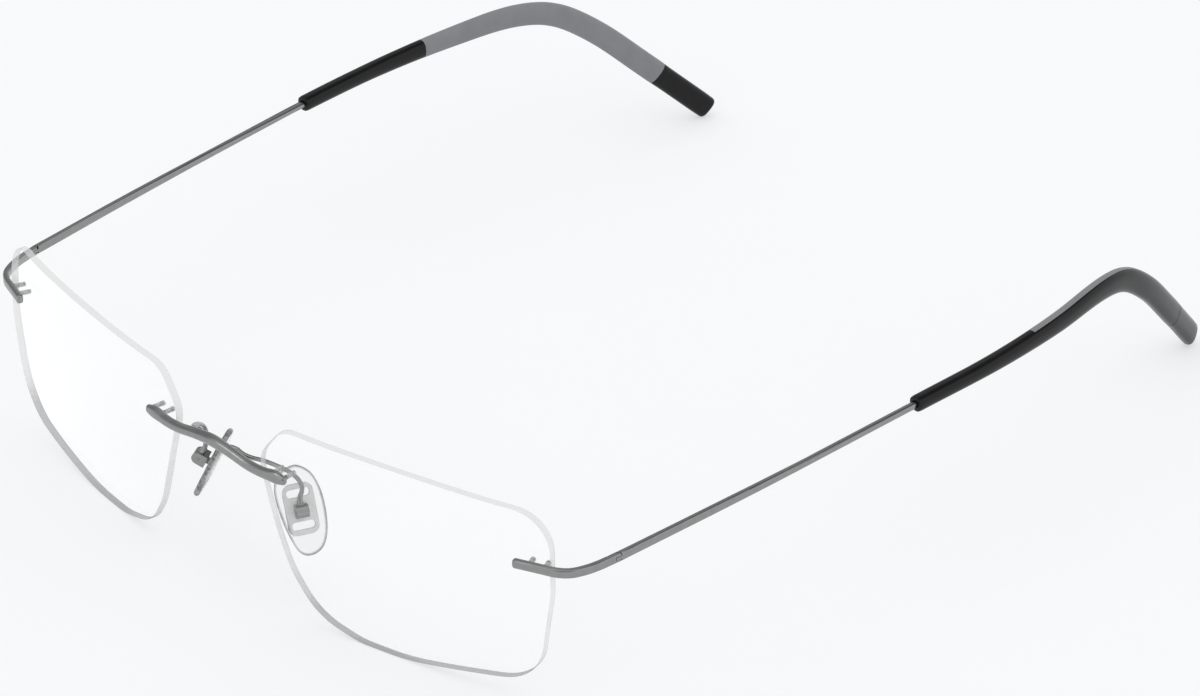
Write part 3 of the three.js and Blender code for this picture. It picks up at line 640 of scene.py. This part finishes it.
def lens(side, shape):
    """The lens: two domed faces with a ground edge and a small chamfer between them."""
    rim = resampled(shape.outline, LENS_RIM_POINTS)
    inset = 1 - LENS_CHAMFER / np.linalg.norm(rim, axis=1).mean()
    shares = [*LENS_FACE_RINGS, inset]
    rows = [(0.0, 0.0)]
    rows += [(share, 0.0) for share in shares]
    rows += [(1.0, LENS_CHAMFER), (1.0, shape.thickness - LENS_CHAMFER)]
    rows += [(share, shape.thickness) for share in reversed(shares)]
    rows += [(0.0, shape.thickness)]
    rings = []
    for share, depth in rows:
        ring = rim if share else rim[:1]
        rings.append([shape.place(share * u, share * v, depth) for u, v in ring])
    mesh = loft("visual_lens_" + side, rings)
    mesh.materials.append(LENS_FACE)
    mesh.materials.append(LENS_EDGE)
    for face in mesh.polygons:
        face.material_index = 0 if abs(np.array(face.normal) @ shape.n) > FACING else 1
    # How far the edge faces up or down at each rim point, for the edge's painted shade
    along = np.roll(rim, -1, 0) - np.roll(rim, 1, 0)
    rise = np.abs(along[:, 0]) / np.linalg.norm(along, axis=1) * np.sign(rim[:, 1])
    whole = [0.5] + [*rise / 2 + 0.5] * (len(rings) - 2) + [0.5]
    mesh.attributes.new("rise", "FLOAT", "POINT").data.foreach_set("value", whole)
    piece = add_piece("visual_lens_" + side, mesh, "front", LENS_FACE, 20)
    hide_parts("lens_" + side)


def turned(name, middle, axis, profile):
    """A closed ring turned about an axis, from a closed profile of (radius, distance along)."""
    circle = circle_about(axis, 32)
    size = len(profile)
    vertices, faces = [], []
    for i, out in enumerate(circle):
        vertices.extend(middle + radius * out + along * axis for radius, along in profile)
        here, there = i * size, (i + 1) % len(circle) * size
        for k in range(size):
            after = (k + 1) % size
            faces.append((here + k, here + after, there + after, there + k))
    return mesh_from(name, vertices, faces)


def sleeve(node):
    """A milky tube in the lens, ribbed behind it. Gives its middle, axis and half length."""
    middle, axes = principal_axes(points_of(node))
    axis = axes[0] if axes[0][1] > 0 else -axes[0]
    reach = np.abs((points_of(node) - middle) @ axis).max()
    bore = STUD_RADIUS + SLEEVE_BORE_GAP
    profile = [(bore, -reach), (SLEEVE_RADIUS, -reach), (SLEEVE_RADIUS, SLEEVE_RIB_START)]
    rib = (reach - SLEEVE_END - SLEEVE_RIB_START) / SLEEVE_RIBS
    for i in range(SLEEVE_RIBS):
        start = SLEEVE_RIB_START + i * rib
        profile += [(SLEEVE_RADIUS + growth, start + share * rib) for share, growth in SLEEVE_RIB]
    profile += [(SLEEVE_RADIUS - SLEEVE_END_TAPER, reach), (bore, reach)]
    mesh = turned("visual_" + node, middle, axis, profile)
    piece = add_piece("visual_" + node, mesh, "front", SLEEVE)
    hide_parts(node)
    return middle, axis, reach


def stud(name, middle, axis, reach, depth, root):
    """A pin through the sleeve: a thick root, then a thin shank with a tapered end."""
    front, back, tip = -reach - depth, root - reach, reach - STUD_TIP_GAP
    rows = [(STUD_ROOT_RADIUS, front), (STUD_ROOT_RADIUS, back)]
    rows += [(STUD_RADIUS, back + STUD_TAPER), (STUD_RADIUS, tip - STUD_TAPER)]
    rows += [(STUD_RADIUS / 2, tip)]
    circle = circle_about(axis)
    rings = [middle + along * axis + radius * circle for radius, along in rows]
    rings = [[middle + front * axis], *rings, [middle + tip * axis]]
    add_piece(name, loft(name, rings), "front", TITANIUM)


# ---- Bridge ----------------------------------------------------------------------------------


def bridge(shapes):
    """The bridge wire, with its fat ends on the lenses."""
    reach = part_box("bridge")[1].x

    def in_front(hits):
        """Leaves out the node's studs, which start at the front of each lens."""
        clear = np.ones(len(hits), bool)
        for side, shape in shapes.items():
            mine = hits[:, 0] * SIDES[side] > STUDS_FROM
            clear &= ~mine | (shape.over(hits) > STUD_CLEARANCE)
        return clear

    points = points_of("bridge")
    nose = points[np.abs(points[:, 0]) < BRIDGE_NOSE]
    middle = (nose.max(0) + nose.min(0)) / 2
    middle[0] = BRIDGE_START
    half = trace(["bridge"], middle, (1, 0, 0), BRIDGE_STEP, BRIDGE_REACH, in_front)
    half = [s for s in half if s[0][0] < reach - BRIDGE_END]
    other = [(s[0] * (-1, 1, 1), s[1] * (1, -1, -1), *s[2:]) for s in reversed(half[1:])]
    stations = [widened(s, reach) for s in smooth(other + half, BRIDGE_SMOOTHING)]
    end = reach - stations[-1][0][0]
    rings = dome(stations[0], -end)[::-1]
    rings += [ring_at(s, BRIDGE_EXPONENT) for s in stations]
    rings += dome(stations[-1], end)
    piece = add_piece("visual_bridge", loft("visual_bridge", rings), "front", TITANIUM)
    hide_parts("bridge")


def widened(station, reach):
    """A bridge section, taller where the bridge lies flat against a lens."""
    centre, heading, width, height = station
    share = np.clip((abs(centre[0]) / reach - PADDLE_FROM) / PADDLE_LENGTH, 0, 1)
    return centre, heading, width, height * (1 + PADDLE_SWELL * share * share * (3 - 2 * share))


def dome(station, length):
    """Rings that close the bridge with a rounded end of the given length along its heading."""
    centre, heading, width, height = station
    rings = []
    for i in range(1, DOME_STEPS + 1):
        angle = math.pi / 2 * i / DOME_STEPS
        size = max(math.cos(angle), DOME_TIP)
        moved = (centre + heading * length * math.sin(angle), heading, width * size, height * size)
        rings.append(ring_at(moved, BRIDGE_EXPONENT))
    return rings


def arm_root(side):
    """The soldered root of the pad arm, which runs inwards along the back of the bridge."""
    arm = points_of("pad_arm_" + side)
    inner = np.abs(arm[:, 0])
    middle = arm[inner < inner.min() + ARM_ROOT_STRETCH].mean(0)
    way = unit(np.array(ARM_ROOT_WAY) * (SIDES[side], 1, 1))
    circle = circle_about(way)
    rings = [middle + along * way + radius * circle for radius, along in ARM_ROOT]
    start, end = ARM_ROOT[0][1], sum(ARM_ROOT[-1])
    rings = [[middle + start * way], *rings, [middle + end * way]]
    name = "arm_root_" + side
    add_piece(name, loft(name, rings), "front", TITANIUM)


# ---- Temple tips -----------------------------------------------------------------------------


def tips(side):
    """The black sleeve, the grey inlay on its inner side, and the black end cap."""
    names = [f"tip_{part}_{side}" for part in ("sleeve", "inlay", "cap")]
    front = points_of(names[0])
    front = front[front[:, 1] < front[:, 1].min() + TIP_MOUTH]
    start = (front.max(0) + front.min(0)) / 2 + TIP_START
    stations = smooth(trace(names, start, TIP_WAY, TIP_STEP, TIP_REACH), TIP_SMOOTHING)
    inlay_low = points_of(names[1])[:, 1].min()
    cap = points_of(names[2])
    cap_middle = principal_axes(cap)[0]
    way = stations[-1][1]
    cap_reach = np.abs((cap - cap_middle) @ way).max()
    tube = [s for s in stations if (s[0] - cap_middle) @ way < -cap_reach]
    split = sum(1 for s in tube if s[0][1] < inlay_low)
    black_sleeve(side, tube, split)
    grey_inlay(side, tube[split - 1 :])
    end_cap(side, tube[-1:] + stations[len(tube) :], cap_middle + way * cap_reach)


def half_ring(station, side_name, inner):
    """A ring of the part of a section on one side of the parting line, closed by that line."""
    centre, heading, width, height = station
    side, top = across(heading)
    side = side * np.sign(side[0]) * SIDES[side_name]
    x, y = superellipse(np.linspace(0, 2 * np.pi, PARTING_POINTS), width, height, TIP_EXPONENT)
    level = width * np.interp(y / height, (-0.5, 0.5), (PARTING_BELOW, PARTING_ABOVE))
    way = -1 if inner else 1
    keep = (x - level) * way >= PARTING_GAP
    order = np.argsort(np.arctan2(y[keep], (x[keep] - level[keep]) * way))
    chain = np.column_stack([x[keep][order], y[keep][order]])
    lengths = np.concatenate([[0], np.cumsum(np.linalg.norm(np.diff(chain, axis=0), axis=1))])
    places = np.linspace(0, lengths[-1], RING_POINTS)
    even = np.column_stack([np.interp(places, lengths, chain[:, k]) for k in (0, 1)])
    return centre + even[:, :1] * side + even[:, 1:] * top


def black_sleeve(side, tube, split):
    """The whole tube up to the split, with a bore and a rounded lip, then its outer half."""
    centre, heading, width, height = tube[0]
    hole = (centre + heading * TIP_BORE_DEPTH, heading, 2 * TIP_BORE, 2 * TIP_BORE)
    rings = [ring_at(hole, 2), ring_at((centre, *hole[1:]), 2)]
    for back, narrowing in TIP_LIP:
        lip = (centre + heading * back, heading, width, height)
        rings.append(ring_at(lip, TIP_EXPONENT, narrowing))
    rings += [ring_at(s, TIP_EXPONENT) for s in tube[1:split]]
    name = f"visual_tip_sleeve_{side}"
    piece = add_piece(name, loft(name, rings), "temple_" + side, BLACK, 50)
    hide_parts(f"tip_sleeve_{side}")
    outer = f"visual_tip_outer_{side}"
    rings = [half_ring(s, side, False) for s in tube[split - 1 :]]
    add_piece(outer, loft(outer, rings), "temple_" + side, BLACK, 50)


def grey_inlay(side, tube):
    """The inner half of the tip, behind the split."""
    name = f"visual_tip_inlay_{side}"
    rings = [half_ring(s, side, True) for s in tube]
    piece = add_piece(name, loft(name, rings), "temple_" + side, GREY, 50)
    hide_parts(f"tip_inlay_{side}")


def end_cap(side, stations, end):
    """The last length of the tip, with a rounded end."""
    way = stations[-1][1]
    kept = [s for s in stations if (end - s[0]) @ way > CAP_ROUNDING]
    rings = [ring_at(kept[0], TIP_EXPONENT, CAP_SEAM)]
    rings += [ring_at(s, TIP_EXPONENT) for s in kept[1:]]
    centre, _, width, height = kept[-1]
    reach = (end - centre) @ way
    for i in range(CAP_STEPS + 1):
        angle = math.pi / 2 * i / CAP_STEPS
        along = reach - CAP_ROUNDING * (1 - math.sin(angle))
        moved = (centre + way * along, way, width, height)
        rings.append(ring_at(moved, TIP_EXPONENT, CAP_ROUNDING * (1 - math.cos(angle))))
    name = f"visual_tip_cap_{side}"
    piece = add_piece(name, loft(name, rings), "temple_" + side, BLACK, 50)
    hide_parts(f"tip_cap_{side}")


# ---- Nose pads -------------------------------------------------------------------------------


def polar_ring(points, angles):
    """Points at some angles about the origin, on the lightly evened hull of some (p, q) rows."""
    hull = np.array([points[i] for i in convex_hull_2d([Vector(p) for p in points])])
    bearing = np.arctan2(hull[:, 1], hull[:, 0])
    order = np.argsort(bearing)
    bearing, hull = bearing[order], hull[order]
    ends = np.roll(hull, -1, 0)
    rows = []
    for angle in angles:
        i = np.searchsorted(bearing, (angle + np.pi) % (2 * np.pi) - np.pi) - 1
        a, b = hull[i], ends[i]
        way = np.array([math.cos(angle), math.sin(angle)])
        rows.append((a[0] * b[1] - a[1] * b[0]) / (way[0] * (b - a)[1] - way[1] * (b - a)[0]))
    radii = np.array(rows)
    for _ in range(2):
        radii = np.roll(radii, 1) / 4 + radii / 2 + np.roll(radii, -1) / 4
    return np.column_stack([radii * np.cos(angles), radii * np.sin(angles)])


def nose_pad(side):
    """A soft clear pad: a pocket behind for the insert, a rounded rim and a domed face."""
    pad, plate = points_of("nose_pad_" + side), points_of("pad_insert_" + side)
    pin_axis = principal_axes(points_of("pad_pin_" + side))[1][0]
    up = principal_axes(pad)[1][0]
    up = unit(up * np.sign(up[2]) - pin_axis * (up @ pin_axis) * np.sign(up[2]))
    facing = np.cross(pin_axis, up)
    facing = facing * (-np.sign(facing[0]) * SIDES[side])
    middle = pad.mean(0)
    depth = (pad - middle) @ facing
    low, high = depth.min(), depth.max()
    local = np.column_stack([(pad - middle) @ pin_axis, (pad - middle) @ up])
    angles = np.arange(PAD_RING_POINTS) * 2 * np.pi / PAD_RING_POINTS
    outline = polar_ring(local, angles)
    plate_rows = np.column_stack([(plate - middle) @ pin_axis, (plate - middle) @ up])
    plate_depth = (plate - middle) @ facing
    flat = plate_depth > plate_depth.max() - PLATE_DEPTH
    pocket = polar_ring(plate_rows[flat], angles) * POCKET_SPREAD
    bottom = plate_depth.max() + POCKET_GAP

    def ring(rows, shrink, level):
        """A loop made smaller by some distance, at some depth through the pad."""
        sizes = np.linalg.norm(rows, axis=1)
        rows = rows * (1 - shrink / sizes)[:, None]
        return middle + rows[:, :1] * pin_axis + rows[:, 1:] * up + level * facing

    narrowing, height = POCKET_CORNER
    widening, lip_depth = POCKET_LIP
    rings = [[middle + facing * bottom], ring(pocket / 2, 0, bottom)]
    rings += [ring(pocket, narrowing, bottom), ring(pocket, 0, bottom - height)]
    rings += [ring(pocket, 0, low + lip_depth), ring(pocket, -widening, low)]
    rings.append(ring(outline, PAD_BACK_INSET, low))
    first_rim = len(rings)
    for i in range(PAD_RIM_STEPS + 1):
        angle = math.pi * i / PAD_RIM_STEPS
        level = low + PAD_RIM * (1 - math.cos(angle))
        rings.append(ring(outline, PAD_RIM * (1 - math.sin(angle)), level))
    top = low + 2 * PAD_RIM
    for share in PAD_DOME_RINGS:
        rings.append(ring(outline * share, 0, top + (high - top) * (1 - share**2)))
    rings.append([middle + facing * high])
    name = "visual_nose_pad_" + side
    mesh = loft(name, rings)
    # How far along the rim each ring lies, for the rim's painted shade
    levels = []
    for index, rows in enumerate(rings):
        share = (index - first_rim) / PAD_RIM_STEPS
        level = math.sin(math.pi * share) if 0 <= share <= 1 else 0.0
        levels += [level] * len(rows)
    mesh.attributes.new("rim", "FLOAT", "POINT").data.foreach_set("value", levels)
    piece = add_piece(name, mesh, "pad_" + side, SILICONE, 60)
    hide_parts("nose_pad_" + side)


# ---- Studio ----------------------------------------------------------------------------------


def near(tree, place, way, inner, outer):
    """1 towards a direction and 0 away from it, with a soft border between two angles."""
    dot = tree.nodes.new("ShaderNodeVectorMath")
    dot.operation = "DOT_PRODUCT"
    dot.inputs[1].default_value = Vector(way).normalized()
    tree.links.new(place, dot.inputs[0])
    level = tree.nodes.new("ShaderNodeMapRange")
    level.interpolation_type = "SMOOTHSTEP"
    level.inputs["From Min"].default_value = math.cos(math.radians(outer))
    level.inputs["From Max"].default_value = math.cos(math.radians(inner))
    tree.links.new(dot.outputs["Value"], level.inputs["Value"])
    return level.outputs[0]


def world_light():
    """An even white studio. Only mirror-like reflections see its dark flags and its bright spot."""
    world = bpy.data.worlds.new("studio")
    bpy.context.scene.world = world
    world.use_nodes = True
    tree = world.node_tree
    tree.nodes.clear()
    output = tree.nodes.new("ShaderNodeOutputWorld")
    background = tree.nodes.new("ShaderNodeBackground")
    place = tree.nodes.new("ShaderNodeTexCoord").outputs["Generated"]
    level = STUDIO_LEVEL
    for way, inner, outer, value in STUDIO_PATCHES:
        mix = tree.nodes.new("ShaderNodeMix")
        tree.links.new(near(tree, place, way, inner, outer), mix.inputs[FACTOR])
        if isinstance(level, float):
            mix.inputs[FLOAT_A].default_value = level
        else:
            tree.links.new(level, mix.inputs[FLOAT_A])
        mix.inputs[FLOAT_B].default_value = value
        level = mix.outputs[0]
    path = tree.nodes.new("ShaderNodeLightPath")
    seen = tree.nodes.new("ShaderNodeMix")
    tree.links.new(path.outputs["Is Glossy Ray"], seen.inputs[FACTOR])
    seen.inputs[FLOAT_A].default_value = FILL_LEVEL
    tree.links.new(level, seen.inputs[FLOAT_B])
    tree.links.new(seen.outputs[0], background.inputs["Strength"])
    background.inputs["Color"].default_value = (0.99, 0.995, 1.0, 1)
    tree.links.new(background.outputs[0], output.inputs["Surface"])


def top_light():
    """A wide soft box overhead, for the soft shadows on the floor."""
    light = bpy.data.lights.new("top", "AREA")
    light.size = TOP_LIGHT_SIZE
    light.energy = TOP_LIGHT_POWER
    lamp = bpy.data.objects.new("top", light)
    bpy.context.scene.collection.objects.link(lamp)
    lamp.location = (0, 0, TOP_LIGHT_HEIGHT)
    lamp.visible_glossy = False


def floor():
    """A pale sheet. About half its brightness is its own glow, so the shadows stay light."""
    s = Shader("floor")
    paper = s.noise(40, 4)
    base = s.add(
        "ShaderNodeBsdfPrincipled",
        {
            "Base Color": s.blend(paper, (0.415, 0.42, 0.424), (0.418, 0.423, 0.427)),
            "Roughness": 1.0,
            "Specular IOR Level": 0.0,
            "Emission Color": (0.494, 0.499, 0.504, 1),
            "Emission Strength": 1.0,
        },
    )
    ways = [(-1, -1), (1, -1), (1, 1), (-1, 1)]
    corners = [(x * FLOOR_REACH, y * FLOOR_REACH, 0) for x, y in ways]
    mesh = mesh_from("floor", corners, [(0, 1, 2, 3)])
    mesh.materials.append(s.finish(base.outputs[0]))
    sheet = bpy.data.objects.new("floor", mesh)
    bpy.context.scene.collection.objects.link(sheet)


def camera():
    """A long lens that looks down on the glasses from in front, on the wearer's left."""
    data = bpy.data.cameras.new("camera")
    data.lens, data.sensor_width = CAMERA_LENS, CAMERA_SENSOR
    eye = bpy.data.objects.new("camera", data)
    bpy.context.scene.collection.objects.link(eye)
    a, e = CAMERA_AZIMUTH, CAMERA_ELEVATION
    back = Vector((math.sin(a) * math.cos(e), -math.cos(a) * math.cos(e), math.sin(e)))
    eye.location = CAMERA_TARGET + CAMERA_DISTANCE * back
    eye.rotation_euler = (math.pi / 2 - e, 0, a)
    bpy.context.scene.camera = eye


# ---- The glasses -----------------------------------------------------------------------------

shapes = {side: LensShape(side) for side in SIDES}
for side, shape in shapes.items():
    lens(side, shape)
    for kind, (depth, root) in STUDS.items():
        for number in (1, 2):
            place = sleeve(f"sleeve_{kind}_{side}_{number}")
            stud(f"stud_{kind}_{side}_{number}", *place, depth, root)
    tips(side)
    nose_pad(side)
    arm_root(side)
    for kind, bevel in METAL_BEVELS.items():
        body = "temple_" + side if kind == "temple" else "front"
        refined(f"{kind}_{side}", body, TITANIUM, bevel)
    # The insert's bevels and sides get a painted shade for their dark outlines
    refined("pad_insert_" + side, "pad_" + side, INSERT, INSERT_BEVEL, INSERT_EDGE_SHADE)
bridge(shapes)

world_light()
top_light()
floor()
camera()
bpy.context.scene.view_settings.view_transform = "Standard"
